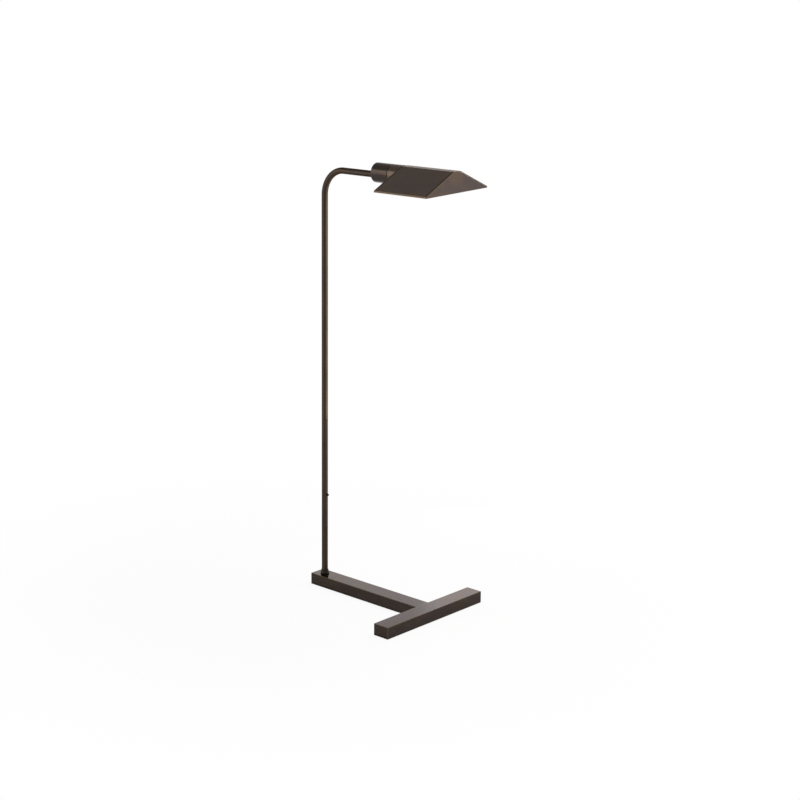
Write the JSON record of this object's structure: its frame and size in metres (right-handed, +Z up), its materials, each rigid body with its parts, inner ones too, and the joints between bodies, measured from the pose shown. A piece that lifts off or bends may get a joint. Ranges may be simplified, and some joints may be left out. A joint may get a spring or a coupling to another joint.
{
  "type": "pharmacy floor lamp",
  "caption": "Pharmacy floor lamp: a T-shaped bar base, a slim bent tube pole in two lengths with a push-button switch, and a trough shade with gable ends that turns over a tubular bulb.",
  "frame": {"origin": "on the floor under the pole, at the middle of the rear pad's underside", "axes": "+Z up along the pole, +X from the pole towards the cross bar and the shade, +Y across"},
  "size_m": [0.3972, 0.3048, 0.9681],
  "materials": {
    "bar_bronze": "dark oil-rubbed bronze patina on steel bar, satin, worn golden along the arrises",
    "tube_bronze": "dark bronze patina, satin",
    "head_bronze": "dark bronze patina, satin",
    "shade_bronze": "dark bronze patina with brown mottling, satin",
    "dark_hardware": "blackened, satin",
    "steel": "zinc plated",
    "plain_brass": "bright",
    "black_rubber": "matt",
    "black_phenolic": "moulded",
    "frosted_glass": "frosted",
    "flex_sheath": "matt"
  },
  "bodies": {
    "base": {"stem_bar": "bar_bronze", "cross_bar": "bar_bronze", "lap_screw_1": "steel", "lap_screw_2": "steel", "rear_pad": "black_rubber", "cross_pad_1": "black_rubber", "cross_pad_2": "black_rubber", "foot_collar": "dark_hardware", "thrust_washer": "plain_brass", "cord_bushing": "black_rubber"},
    "pole": {"pole_lower": "tube_bronze", "pole_upper": "tube_bronze", "pole_coupling": "steel", "foot_stud": "steel", "pivot_washer": "steel", "pivot_nut": "steel", "pole_lead": "flex_sheath", "switch_bezel": "dark_hardware", "switch_can": "black_phenolic", "head_cap": "head_bronze", "arm_nipple": "steel", "arm_nut": "steel", "cap_bulkhead": "steel", "head_nipple": "steel", "head_nut_1": "steel", "head_nut_2": "steel", "spring_washer": "steel"},
    "button": {"switch_button": "dark_hardware"},
    "head": {"seam_washer": "dark_hardware", "socket_housing": "head_bronze", "shade_body": "shade_bronze", "rear_gable": "shade_bronze", "front_gable": "shade_bronze", "lampholder": "black_phenolic", "terminal_screw_1": "plain_brass", "terminal_screw_2": "plain_brass", "screw_shell": "plain_brass", "centre_contact": "plain_brass", "shade_ring": "black_phenolic", "bulb_cap": "plain_brass", "bulb_insulator": "black_phenolic", "bulb_tip": "plain_brass", "bulb_glass": "frosted_glass"}
  },
  "joints": [
    {"name": "pole_swivel", "type": "hinge", "parent": "base", "child": "pole", "pos_m": [0, 0, 0.0275], "axis": [0, 0, 1], "range_deg": [-90, 90]},
    {"name": "shade_turn", "type": "hinge", "parent": "pole", "child": "head", "pos_m": [0.199, 0, 0.947], "axis": [1, 0, 0], "range_deg": [-92, 88]},
    {"name": "switch_press", "type": "slide", "parent": "pole", "child": "button", "axis": [-1, 0, 0], "range_m": [0, 0.002], "stiffness_N_per_m": 600, "springref_m": -0.001}
  ]
}
